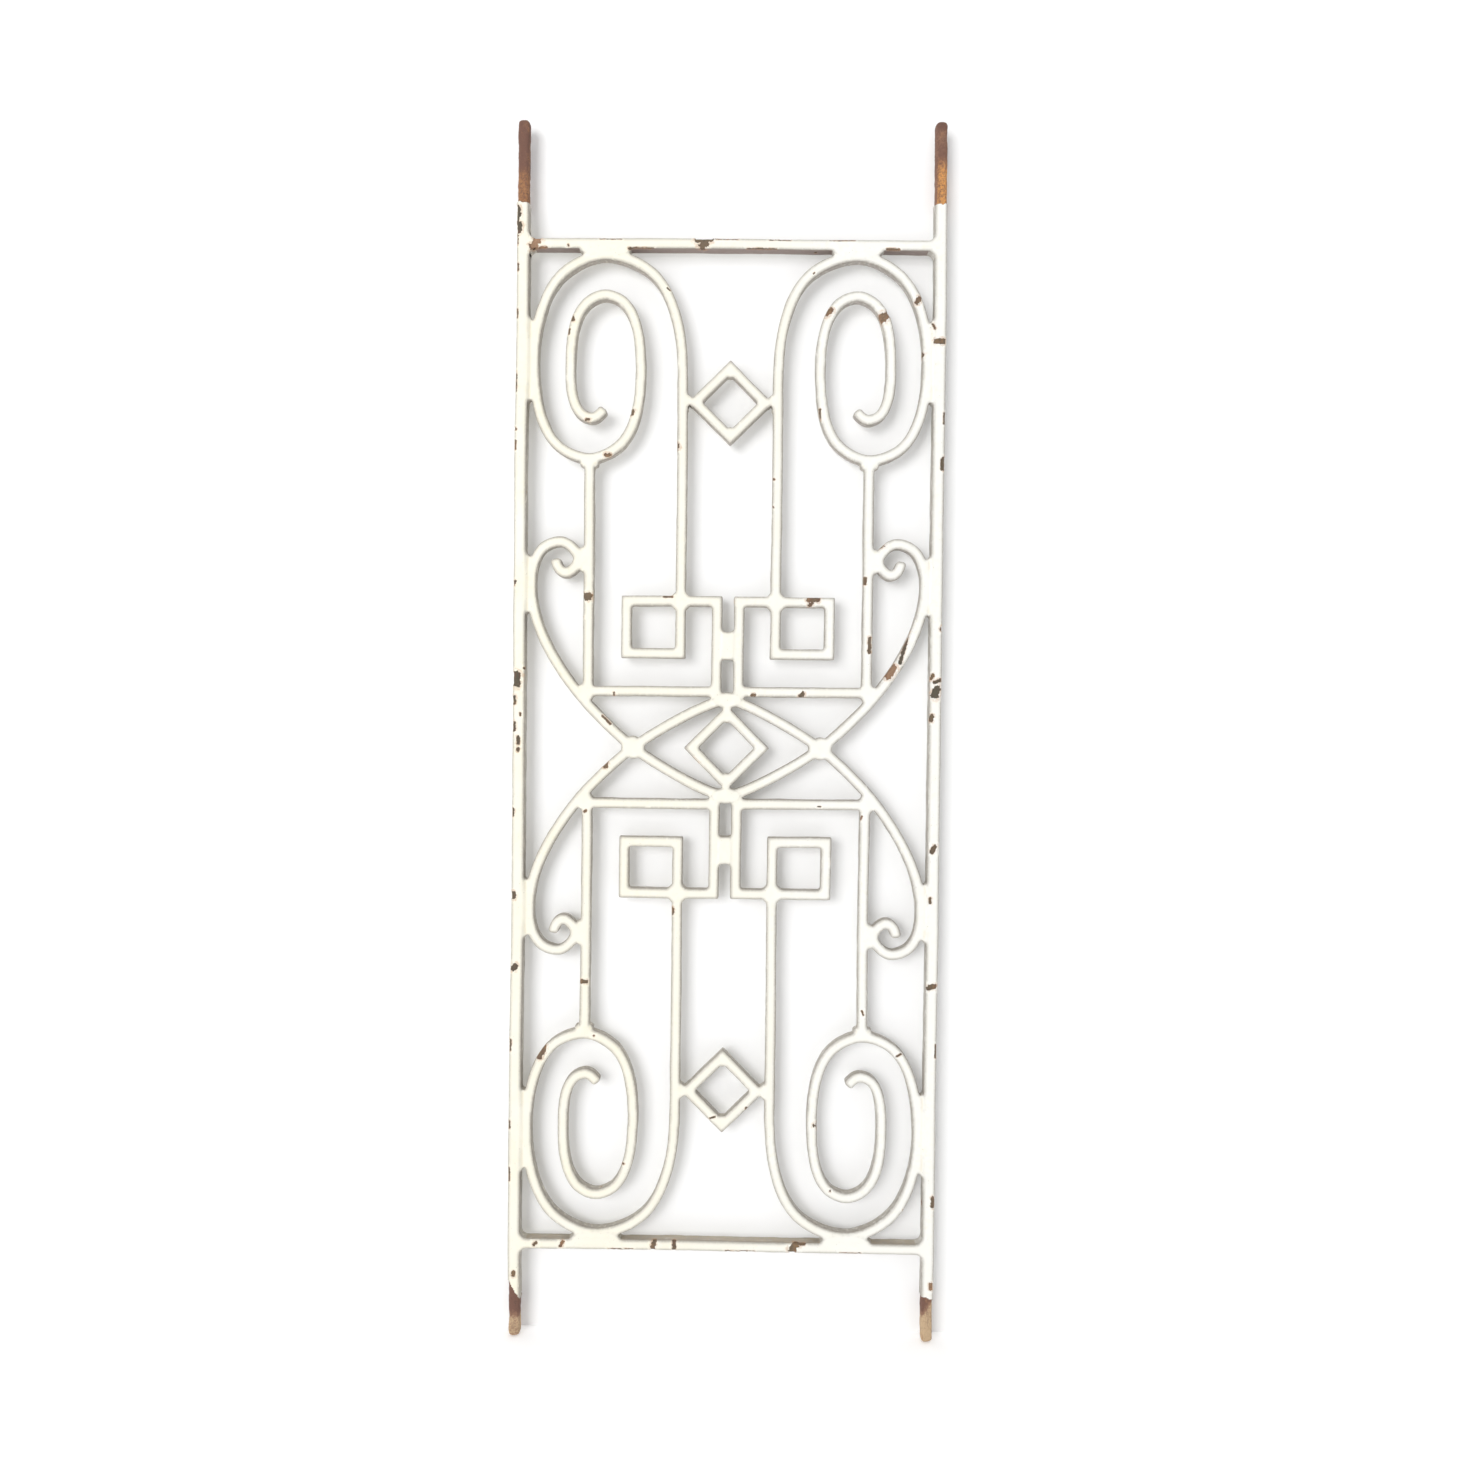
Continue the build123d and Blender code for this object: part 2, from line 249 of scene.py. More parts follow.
chips = [
    # left stile, from the top down
    (-213, 529, 0, 5, 3.4, 0.1), (-212, 515, 1, 3, 3.6, 0.1), (-214, 503, 0, 4, 1.8, 0.1),
    (-213, 476, 0, 3, 1.6, 0.2), (-213, 430, 0, 4, 1.2, 0.2), (-214, 363, 0, 9, 1.8, 0.1),
    (-213, 300, 0, 4, 1.3, 0.2), (-211, 67, 0, 3, 5.2, 0.1), (-213, 46, 0, 2, 3.0, 0.1),
    (-206, 32, 0, 1, 1.2, 0.2), (-213, 20, 0, 2, 2.8, 0.1), (-208, 6, 0, 3, 1.8, 0.2),
    (-208, -4, 0, 1, 1.6, 0.2), (-213, -66, 0, 3, 1.8, 0.2), (-212, -150, 0, 1, 3.2, 0.2),
    (-210, -222, 0, 1, 3.2, 0.1), (-213, -300, 0, 5, 1.6, 0.3), (-213, -380, 0, 3, 1.5, 0.3),
    (-213, -430, 0, 6, 1.4, 0.3), (-208, -531, 0, 2, 2.0, 0.2),
    # right stile, from the top down
    (207, 406, 3, 0, 2.8, 0.2), (213, 330, 0, 5, 1.4, 0.3), (212, 285, 0, 5, 2.2, 0.2),
    (204, 73, 1, 2, 1.7, 0.1), (209, 69, 3, 1, 1.9, 0.1), (208, 58, 1, 2, 4.2, 0.1),
    (204, 32, 0, 2, 2.4, 0.2), (208, -98, 1, 2, 2.6, 0.2), (205, -150, 0, 2, 1.6, 0.3),
    (207, -236, 3, 1, 2.6, 0.2), (213, -300, 0, 6, 1.3, 0.3), (212, -452, 0, 4, 2.2, 0.3),
    (211, -537, 0, 2, 2.2, 0.5),
    # rails
    (-195, 500, 2, 3, 4.2, 0.7), (-187, 495, 3, 0, 2.2, 0.6), (-120, 505, 10, 0, 1.4, 0.2),
    (-28, 505, 5, 0, 4.4, 0.25), (-28, 499, 1, 1, 4.0, 0.3), (-8, 505, 14, 0, 1.2, 0.1),
    (48, 505, 10, 0, 1.5, 0.2), (110, 505, 12, 0, 1.2, 0.2), (160, 496, 6, 0, 1.3, 0.5),
    (30, 495, 14, 0, 1.2, 0.3), (-90, 495, 12, 0, 1.3, 0.4), (-186, -500, 1, 1, 1.8, 0.4),
    (-159, -500, 1, 2, 1.8, 0.4), (-67, -500, 1, 5, 2.4, 0.2), (-46, -500, 0, 5, 1.9, 0.2),
    (74, -500, 2, 3, 3.6, 0.3), (82, -496, 2, 0, 1.6, 0.3), (-100, -505, 12, 0, 1.3, 0.2),
    (20, -505, 14, 0, 1.3, 0.2), (130, -505, 10, 0, 1.2, 0.2),
    # scrolls
    (-158, 426, 0, 1, 2.2, 0.3), (-98, 333, 1, 1, 2.6, 0.3), (-121, 291, 2, 0, 2.4, 0.4),
    (-141, 326, 1, 0, 2.0, 0.4), (97, 434, 2, 2, 3.2, 0.4), (152, 430, 3, 3, 4.2, 0.5),
    (185, 446, 1, 2, 2.6, 0.4), (89, 330, 0, 8, 1.2, 0.3), (-181, -307, 3, 5, 2.9, 0.4),
    (-52, -163, 0, 2, 2.2, 0.3), (176, -305, 2, 1, 1.2, 0.4),
    # legs and meanders
    (-140, 150, 2, 0, 3.8, 0.3), (141, 104, 0, 7, 1.8, 0.3), (135, 168, 0, 2, 2.0, 0.3),
    (-140, -236, 3, 0, 2.2, 0.3), (84, 149, 4, 0, 3.0, 0.4), (82, 144, 1, 1, 2.0, 0.3),
    (26, 53, 1, 0, 1.8, 0.4), (74, 54, 1, 1, 2.4, 0.3), (-60, 150, 4, 0, 1.1, 0.4),
    # arcs and the centre diamond
    (163, 78, 3, 4, 4.0, 0.6), (178, 110, 6, 24, 1.7, 0.1),
    (-32, -15, 2, -2, 2.8, 0.1), (-27, -19, 1, -1, 1.8, 0.1), (-120, 27, 4, -4, 1.1, 0.4),
]
speckles = 60             # small chips dropped at random over all sides
speckle_radius = (0.6, 1.4)
rear_chips = 26           # and larger ones on the sides and rear
rear_chip_radius = (1.6, 3.4)
wear_seed = 11
frame_slack = 2 * MM      # a chip this far off a stile or rail still belongs to it
flake_limits = (1.0 * MM, 2.4 * MM)    # least and greatest size of the flakes in a chip's edge
chip_edge = (0.86, 1.06)  # where the paint ends, in chip radii from a chip's middle
stain_edge = (0.9, 2.2)   # and where the stain round it fades
chip_depth = 0.85         # mm from the paint to the iron
outer_flank_lift = 0.7           # share of the flanks' painted shade and grime taken off the stiles' outer sides


def chip_segments(points, normals):
    """Every chip as (one end, other end, radius, tone) in metres."""
    segments = []
    for x, z, run_x, run_z, radius, tone in chips:
        on_stile = abs(abs(x) * MM - stile_x) < stile_half + frame_slack
        on_rail = abs(abs(z) * MM - rail_z) < rail_half + frame_slack
        face_y = frame_y if on_stile or on_rail else infill_y
        centre = np.array([x * MM, face_y, middle_z + z * MM])
        run = np.array([run_x * MM, 0, run_z * MM])
        segments.append((centre - run, centre + run, radius * MM, tone))
    draw = np.random.default_rng(wear_seed)
    rear = np.flatnonzero(normals[:, 1] > -0.2)
    for count, radii, among in (
        (speckles, speckle_radius, np.arange(len(points))),
        (rear_chips, rear_chip_radius, rear),
    ):
        for _ in range(count):
            centre = points[among[draw.integers(len(among))]]
            along = np.array([draw.normal(), 0, draw.normal()]) * draw.uniform(0.2, 1.6) * MM
            radius = draw.uniform(*radii) * MM
            segments.append((centre - along, centre + along, radius, draw.uniform(0.1, 0.6)))
    return segments


def flake_centres(points, size):
    """Paint breaks away in angular flakes: the middle of the random cell round each point."""
    home = np.floor(points / size)
    best = np.full(len(points), np.inf)
    found = points.copy()
    for step in itertools.product((-1, 0, 1), repeat=3):
        cell = home + step
        shift = np.stack([lattice_noise(cell * MM, 0.37, seed) for seed in (21, 22, 23)], axis=1)
        centre = (cell + 0.5 + 0.5 * shift) * size
        gap = np.linalg.norm(points - centre, axis=1)
        closer = gap < best
        best[closer] = gap[closer]
        found[closer] = centre[closer]
    return found


def boxed(points, first, last, reach):
    """Which points are within reach of the box that a chip's two ends span."""
    above = points > np.minimum(first, last) - reach
    below = points < np.maximum(first, last) + reach
    return np.all(above & below, axis=1)


def chip_cover(points, segments):
    """How far each point is inside a chip, how near one, and the tone of its rust, all 0..1."""
    wobble = 0.26 * lattice_noise(points, 4.5, 3) + 0.16 * lattice_noise(points, 1.9, 4)
    cover = np.zeros(len(points))
    stain = np.zeros(len(points))
    tone = np.full(len(points), 0.3)
    for first, last, radius, shade in segments:
        reach = 2.6 * radius + 1 * MM
        near = np.flatnonzero(boxed(points, first, last, reach))
        run = last - first
        flake_size = min(max(0.8 * radius, flake_limits[0]), flake_limits[1])
        flakes = flake_centres(points[near], flake_size)

        def distance(spots):
            share = np.clip((spots - first) @ run / max(run @ run, least_length**2), 0, 1)
            return np.linalg.norm(spots - first - share[:, None] * run, axis=1) / radius

        edge = 0.6 * distance(flakes) + 0.4 * distance(points[near]) + wobble[near]
        chipped = 1 - ramp(edge, *chip_edge)
        tone[near] = np.where(chipped > cover[near], shade, tone[near])
        cover[near] = np.maximum(cover[near], chipped)
        stain[near] = np.maximum(stain[near], 1 - ramp(edge, *stain_edge))
    return cover, stain, tone


def refine(mesh, segments, rounds):
    """Cut the skin finer round the chips, more closely each round, so their edges have thickness."""
    work = bmesh.new()
    work.from_mesh(mesh)
    for step in range(rounds):
        centres = np.array([face.calc_center_median() for face in work.faces])
        chosen = np.zeros(len(centres), bool)
        for first, last, radius, _ in segments:
            reach = radius * 1.35 + (0.6 if step else 1.2) * MM
            chosen |= boxed(centres, first, last, reach)
        work.faces.ensure_lookup_table()
        edges = {edge for index in np.flatnonzero(chosen) for edge in work.faces[index].edges}
        edges = sorted(edges, key=lambda edge: edge.index)
        bmesh.ops.subdivide_edges(work, edges=edges, cuts=1, use_grid_fill=True, smooth=0)
        work.faces.index_update()
        work.edges.index_update()
        work.verts.index_update()
    work.to_mesh(mesh)
    work.free()


def bare_cover(points):
    """1 on the rusty stubs, 0 on the paint, with a ragged line between that leans at the feet."""
    height = points[:, 2] - middle_z
    side = np.sign(points[:, 0])
    across = np.clip(points[:, 0] - side * stile_x, -stile_half, stile_half)
    lean = np.where(side < 0, foot_lean_left, foot_lean_right) * across
    ragged = height + (2.4 * lattice_noise(points, 9, 5) + 1.4 * lattice_noise(points, 3, 6)) * MM
    upper = ramp(ragged, upper_rust_z - rust_line, upper_rust_z + rust_line)
    lower = ramp(-(ragged + lean), -lower_rust_z - rust_line, -lower_rust_z + rust_line)
    return np.maximum(upper, lower)


def stub_depth(points):
    """How far each point is in from the nearer end of its stile."""
    return np.minimum(high.z - points[:, 2], points[:, 2] - low.z)


def stub_tones(points):
    """The rust's tone and orange bloom along each stub, which the wall held for years."""
    height = points[:, 2] - middle_z
    depth = stub_depth(points) / MM
    left = points[:, 0] < 0
    upper = height > 0
    across = (points[:, 0] - np.sign(points[:, 0]) * stile_x) / MM
    tone = np.full(len(points), 0.36)
    tone = np.where(upper & ~left, 0.26 + 0.2 * ramp(depth, 5, 12), tone)
    tone = np.where(~upper & left, 0.86 - 0.5 * ramp(depth, 17, 30), tone)
    tone = np.where(~upper & ~left, 0.92 - 0.5 * ramp(depth - 1.2 * across, 30, 42), tone)
    bloom = np.where(upper & left, 0.35 * ramp(depth, 45, 60), 0.0)
    orange = ramp(depth, 34, 52) * ramp(across, -6.5, -2)
    bloom = np.where(upper & ~left, orange, bloom)
    return tone, bloom


# The free ends of the scrolls and curls: x and height in mm from the panel's middle, and the
# direction they point in, in degrees. They repeat in all four quarters.
curl_ends = [(125.0, 337.0, 130), (172.0, 187.5, 80)]
curl_end_round = 3.8 * MM
infill_half = 5.0 * MM


def rounded_curl_ends(points):
    """Scroll and curl ends hammered and painted to a blunt round."""
    moved = points.copy()
    for x, z, degrees in curl_ends:
        angle = math.radians(degrees)
        for side, tier in itertools.product((-1, 1), repeat=2):
            out = np.array([side * math.cos(angle), tier * math.sin(angle)])
            sideways = np.array([-out[1], out[0]])
            offset = points[:, [0, 2]] - (side * x * MM, middle_z + tier * z * MM)
            near = np.flatnonzero(np.linalg.norm(offset, axis=1) < 1.8 * infill_half)
            past = offset[near] @ out
            across = offset[near] @ sideways
            corner_end = past + curl_end_round
            corner_side = np.abs(across) - (infill_half - curl_end_round)
            length = np.hypot(corner_end, corner_side)
            pull = np.minimum(curl_end_round / np.maximum(length, least_length), 1) - 1
            pull = np.where((corner_end > 0) & (corner_side > 0), pull, 0)
            shift = (pull * corner_end)[:, None] * out
            shift += (pull * corner_side * np.sign(across))[:, None] * sideways
            moved[near, 0] += shift[:, 0]
            moved[near, 2] += shift[:, 1]
    return moved


def rounded_stubs(points, bare):
    """Stubs eaten away to a rounder section, with worn round ends."""
    axis_x = np.sign(points[:, 0]) * stile_x
    lateral = np.stack([points[:, 0] - axis_x, points[:, 1] - middle_y], axis=1)
    size = (np.abs(lateral) ** 4).sum(axis=1) ** 0.25
    size = np.maximum(size, least_length)
    slim = np.minimum(size, stub_half)
    depth = stub_depth(points)
    corner_side = slim - (stub_half - stub_end_round)
    corner_end = stub_end_round - depth
    beyond = (corner_side > 0) & (corner_end > 0) & (bare > 0)
    length = np.hypot(corner_side, corner_end)
    beyond_round = beyond & (length > stub_end_round)
    pull = np.where(beyond_round, stub_end_round / np.maximum(length, least_length), 1)
    new_side = np.where(beyond, stub_half - stub_end_round + corner_side * pull, slim)
    new_depth = np.where(beyond, stub_end_round - corner_end * pull, depth)
    shrink = new_side / size
    moved = points.copy()
    moved[:, 0] = axis_x + lateral[:, 0] * shrink
    moved[:, 1] = middle_y + lateral[:, 1] * shrink
    moved[:, 2] += np.sign(middle_z - points[:, 2]) * (new_depth - depth)
    return points + (moved - points) * bare[:, None]


def vertex_share(mesh, chosen_faces):
    """For each vertex, the share of its faces that are among the chosen ones."""
    totals = np.zeros(len(mesh.vertices))
    hits = np.zeros(len(mesh.vertices))
    corners = np.zeros(len(mesh.loops), np.int64)
    mesh.loops.foreach_get("vertex_index", corners)
    sizes = np.zeros(len(mesh.polygons), np.int64)
    mesh.polygons.foreach_get("loop_total", sizes)
    np.add.at(totals, corners, 1)
    np.add.at(hits, corners, np.repeat(chosen_faces.astype(float), sizes))
    return hits / np.maximum(totals, 1)


class Ties:
    """The skin's edges, for passing values between neighbouring points."""

    def __init__(self, mesh):
        ends = np.zeros(len(mesh.edges) * 2, np.int64)
        mesh.edges.foreach_get("vertices", ends)
        ends = ends.reshape(-1, 2)
        self.here = np.concatenate([ends[:, 0], ends[:, 1]])
        self.there = np.concatenate([ends[:, 1], ends[:, 0]])
        self.size = len(mesh.vertices)
        self.count = np.maximum(np.bincount(self.here, minlength=self.size), 1)

    def around(self, values):
        """The mean of each point's neighbours."""
        return np.bincount(self.here, values[self.there], self.size) / self.count

    def spread(self, values, rounds):
        """Values smoothed over their neighbours, round by round."""
        for _ in range(rounds):
            values = (values + self.around(values)) / 2
        return values

    def curvature(self, points, normals):
        """How sharply the skin bends, in 1/mm: positive on arrises, negative in hollows."""
        middle = np.stack([self.around(points[:, axis]) for axis in range(3)], axis=1)
        reach = np.linalg.norm(points[self.here] - points[self.there], axis=1)
        reach = np.bincount(self.here, reach, self.size) / self.count
        return 4 * ((points - middle) * normals).sum(axis=1) / reach**2 * MM


def wear_and_relief(mesh, owner, segments):
    """Move the skin's points for paint, beads, rust and chips, and return masks for the materials.

    Heights are in mm along the normals. The wander bends the bars a little, as handwork does.
    """
    points = mesh_points(mesh)
    normals = mesh_normals(mesh)
    cover, stain, tone = chip_cover(points, segments)
    bare = bare_cover(points)
    painted = 1 - bare
    ties = Ties(mesh)
    curved = ties.spread(ties.curvature(points, normals), 1)
    # Arrises and hollows, which the materials give painted shade.
    arris = ties.spread(ramp(curved, 0.08, 0.35), arris_spread)
    hollow = ties.spread(ramp(-curved, 0.05, 0.30), 2)
    is_bead = np.array([slot_of[name] == "weld" for name in node_names])
    bead = vertex_share(mesh, is_bead[owner])

    paint = (
        0.15
        + 0.24 * lattice_noise(points, 17, 7)
        + 0.14 * lattice_noise(points, 6.5, 8)
        + 0.06 * lattice_noise(points, 2.4, 9)
    )
    lumps = 0.03 + 0.22 * np.abs(lattice_noise(points, 8, 10)) + 0.09 * lattice_noise(points, 3, 11)
    pits = (
        0.40 * lattice_noise(points, 13, 12)
        + 0.26 * lattice_noise(points, 4, 13)
        + 0.14 * lattice_noise(points, 1.8, 14)
    )
    height = paint * painted + bead * lumps * painted + pits * bare
    height -= cover * painted * (chip_depth + 0.15 * lattice_noise(points, 1.5, 15))
    height += (stain - cover) * painted * 0.12

    wander = np.stack(
        [
            0.70 * lattice_noise(points, 150, 16) + 0.25 * lattice_noise(points, 45, 17),
            0.25 * lattice_noise(points, 180, 18),
            0.60 * lattice_noise(points, 140, 19) + 0.20 * lattice_noise(points, 45, 20),
        ],
        axis=1,
    )
    moved = rounded_stubs(rounded_curl_ends(points), bare) + (normals * height[:, None] + wander) * MM
    mesh.vertices.foreach_set("co", moved.ravel())
    mesh.update()

    # The flank mask puts painted shade, partly grime, on the bars' sides, with less on the stiles'
    # outer sides.
    outer_side = ramp(np.sign(points[:, 0]) * normals[:, 0], 0.85, 0.98)
    outer_side *= np.abs(points[:, 0]) > stile_x
    flank = 1 - ramp(np.abs(normals[:, 1]), 0.45, 0.93)
    stub_tone, bloom = stub_tones(points)
    return {
        "chip": cover * painted,
        "stain": stain * painted,
        "bare": bare,
        "arris": arris,
        "hollow": hollow,
        "tone": tone * painted + stub_tone * bare,
        "bloom": bloom * bare,
        "flank": flank * (1 - outer_flank_lift * outer_side),
        "ledge": ramp(normals[:, 2], 0.5, 0.9),
        "soffit": ramp(-normals[:, 2], 0.5, 0.9),
    }


# ---- Cutting the skin into its pieces ------------------------------------------------------------

cap_depth = 4.0 * MM      # how far under the surface the hidden faces of a cut meet


def close_cuts(faces, points, normals):
    """Hidden faces that close a piece: each cut edge joins a point under the surface."""
    directed = {(a, b) for face in faces for a, b in zip(face, face[1:] + face[:1])}
    open_edges = sorted(edge for edge in directed if (edge[1], edge[0]) not in directed)
    group = {}

    def root(vertex):
        while group.setdefault(vertex, vertex) != vertex:
            group[vertex] = group[group[vertex]]
            vertex = group[vertex]
        return vertex

    for a, b in open_edges:
        group[root(a)] = root(b)
    rims = {}
    for edge in open_edges:
        rims.setdefault(root(edge[0]), []).append(edge)
    apexes, caps = [], []
    for rim in sorted(rims):
        members = sorted({vertex for edge in rims[rim] for vertex in edge})
        apex = points[members].mean(axis=0) - cap_depth * normals[members].mean(axis=0)
        number = len(points) + len(apexes)
        apexes.append(apex)
        caps.extend([b, a, number] for a, b in rims[rim])
    return apexes, caps


def cut_pieces(mesh, owner, masks):
    """One closed mesh object for each CAD node, with the skin's own normals and masks."""
    points = mesh_points(mesh)
    normals = mesh_normals(mesh)
    all_faces = [list(polygon.vertices) for polygon in mesh.polygons]
    made = {}
    for number, name in enumerate(node_names):
        faces = [all_faces[index] for index in np.flatnonzero(owner == number)]
        apexes, caps = close_cuts(faces, points, normals)
        used = sorted({vertex for face in faces for vertex in face})
        place = {vertex: index for index, vertex in enumerate(used)}
        for offset in range(len(apexes)):
            place[len(points) + offset] = len(used) + offset
        own_points = np.vstack([points[used]] + [apex[None] for apex in apexes])
        shell = bpy.data.meshes.new(f"painted_{name}")
        shell.from_pydata(own_points, [], [[place[v] for v in face] for face in faces + caps])
        shell.polygons.foreach_set("use_smooth", np.ones(len(shell.polygons), bool))
        for key, values in masks.items():
            layer = shell.attributes.new(key, "FLOAT", "POINT")
            own = np.concatenate([values[used], np.zeros(len(apexes))])
            layer.data.foreach_set("value", own)
        own_normals = np.vstack([normals[used]] + [np.array([[0, -1, 0]])] * len(apexes))
        shell.normals_split_custom_set_from_vertices(own_normals)
        piece = bpy.data.objects.new(f"painted_{name}", shell)
        bpy.context.scene.collection.objects.link(piece)
        made[name] = piece
    return made


# ---- Materials -----------------------------------------------------------------------------------


class Shader:
    """A small helper that adds nodes to a material and links them by name."""

    def __init__(self, name):
        self.material = bpy.data.materials.new(name)
        self.material.use_nodes = True
        self.tree = self.material.node_tree
        self.tree.nodes.clear()

    def add(self, kind, values=None, **settings):
        """A new node, with values or links for its inputs by name."""
        node = self.tree.nodes.new(kind)
        for key, value in settings.items():
            setattr(node, key, value)
        for key, value in (values or {}).items():
            self.put(node.inputs[key], value)
        return node

    def put(self, socket, value):
        """Link another node's output to a socket, or set its value."""
        if isinstance(value, bpy.types.NodeSocket):
            self.tree.links.new(value, socket)
        else:
            socket.default_value = value

    def mask(self, name):
        """One of the masks that wear_and_relief stored on the mesh."""
        return self.add("ShaderNodeAttribute", attribute_name=name).outputs["Fac"]

    def place(self):
        """Where a point is in the grille's own space, in metres."""
        return self.add("ShaderNodeTexCoord").outputs["Object"]

    def noise(self, size, detail=3.0, roughness=0.55, stretch=(1, 1, 1)):
        """Noise in 0..1 with features `size` mm wide."""
        spread = self.add("ShaderNodeMapping", {"Vector": self.place(), "Scale": stretch})
        values = {
            "Vector": spread.outputs["Vector"],
            "Scale": 1 / (size * MM),
            "Detail": detail,
            "Roughness": roughness,
        }
        return self.add("ShaderNodeTexNoise", values).outputs["Fac"]

    def math(self, operation, *values):
        """One sum, product or the like, by Blender's name for it."""
        node = self.add("ShaderNodeMath", operation=operation)
        for socket, value in zip(node.inputs, values):
            self.put(socket, value)
        return node.outputs[0]

    def step(self, value, start, end):
        """0 at start and 1 at end, smooth between."""
        values = {"Value": value, "From Min": start, "From Max": end}
        node = self.add("ShaderNodeMapRange", values, interpolation_type="SMOOTHSTEP")
        return node.outputs["Result"]

    def blend(self, factor, first, second):
        """The first colour at factor 0, the second at 1."""
        node = self.add("ShaderNodeMix", data_type="RGBA")
        self.put(node.inputs["Factor"], factor)
        self.put(node.inputs["A"], first)
        self.put(node.inputs["B"], second)
        return node.outputs["Result"]

    def blend_value(self, factor, first, second):
        """The first number at factor 0, the second at 1."""
        node = self.add("ShaderNodeMix", data_type="FLOAT")
        self.put(node.inputs["Factor"], factor)
        self.put(node.inputs["A"], first)
        self.put(node.inputs["B"], second)
        return node.outputs["Result"]


def srgb(red, green, blue):
    """A colour given as 0..255 screen values, as the linear colour the shader takes."""
    linear = [
        part / 12.92 if part <= 0.04045 else ((part + 0.055) / 1.055) ** 2.4
        for part in (red / 255, green / 255, blue / 255)
    ]
    return (*linear, 1.0)


cream = srgb(237, 234, 222)
white_cream = srgb(239, 238, 232)
yellow_cream = srgb(235, 228, 201)
# The next colour is painted shade, partly grime, for flanks and arrises; then dust on ledges; then
# painted shade for undersides, tinted rust-brown, and for hollows, yellowed.
shade_and_grime = srgb(146, 139, 130)
ledge_dirt = srgb(180, 166, 144)
soffit_shade = srgb(128, 110, 103)
hollow_shade = srgb(206, 192, 160)
rust_stain = srgb(190, 148, 112)
olive_scale = srgb(84, 78, 66)
dull_rust = srgb(112, 96, 78)
chip_brown = srgb(146, 116, 92)
chip_tan = srgb(188, 150, 122)
dark_scale = srgb(78, 66, 58)
red_rust = srgb(112, 80, 68)
brown_rust = srgb(138, 104, 84)
tan_rust = srgb(188, 162, 130)
orange_rust = srgb(208, 148, 84)
fly_speck = srgb(130, 120, 98)


def four_stops(shader, level, stops):
    """A colour that passes through four stops as the level goes from 0 to 1."""
    colour = shader.blend(shader.step(level, 0.02, 0.30), stops[0], stops[1])
    colour = shader.blend(shader.step(level, 0.38, 0.60), colour, stops[2])
    return shader.blend(shader.step(level, 0.68, 0.92), colour, stops[3])


def rust_colour(shader, bare):
    """Rust by its tone: olive to tan in the chips, red-brown to tan on the stubs, in patches."""
    patches = shader.noise(9, detail=4, stretch=(1, 1, 0.4))
    grain = shader.noise(1.6, detail=5, roughness=0.7)
    level = shader.math("MULTIPLY_ADD", patches, 0.5, shader.mask("tone"))
    level = shader.math("MULTIPLY_ADD", grain, 0.7, level)
    level = shader.math("SUBTRACT", level, 0.6)
    in_chips = four_stops(shader, level, (olive_scale, dull_rust, chip_brown, chip_tan))
    on_stubs = four_stops(shader, level, (dark_scale, red_rust, brown_rust, tan_rust))
    colour = shader.blend(bare, in_chips, on_stubs)
    flecks = shader.math("MULTIPLY", shader.step(patches, 0.55, 0.7), 0.2)
    bloom = shader.math("MAXIMUM", shader.mask("bloom"), flecks)
    bloom = shader.math("MULTIPLY", bloom, shader.step(grain, 0.3, 0.6))
    colour = shader.blend(bloom, colour, orange_rust)
    scale = shader.noise(4.5, detail=5, roughness=0.7, stretch=(1, 1, 0.3))
    scale = shader.math("MULTIPLY", shader.step(scale, 0.50, 0.66), 0.55)
    colour = shader.blend(scale, colour, red_rust)
    pits = shader.math("MULTIPLY", shader.step(shader.noise(1.1, detail=4), 0.56, 0.68), 0.6)
    return shader.blend(pits, colour, dark_scale)


def clean_paint(shader, mottle):
    """Brushed cream, a little whiter to the right of the panel and yellower to the left."""
    tone = shader.noise(70, detail=3)
    across = shader.add("ShaderNodeSeparateXYZ", {"Vector": shader.place()}).outputs["X"]
    whiter = shader.math("MULTIPLY_ADD", shader.step(across, -0.05, 0.21), 0.5, tone)
    paint = shader.blend(shader.step(whiter, 0.42, 0.95), cream, white_cream)
    yellowed = shader.math("MULTIPLY", shader.step(across, 0.10, -0.21), 0.5)
    yellowed = shader.math("MULTIPLY_ADD", shader.step(mottle, 0.45, 0.75), 0.35, yellowed)
    yellowed = shader.math("MULTIPLY", yellowed, shader.step(tone, 0.3, 0.7))
    return shader.blend(yellowed, paint, yellow_cream)


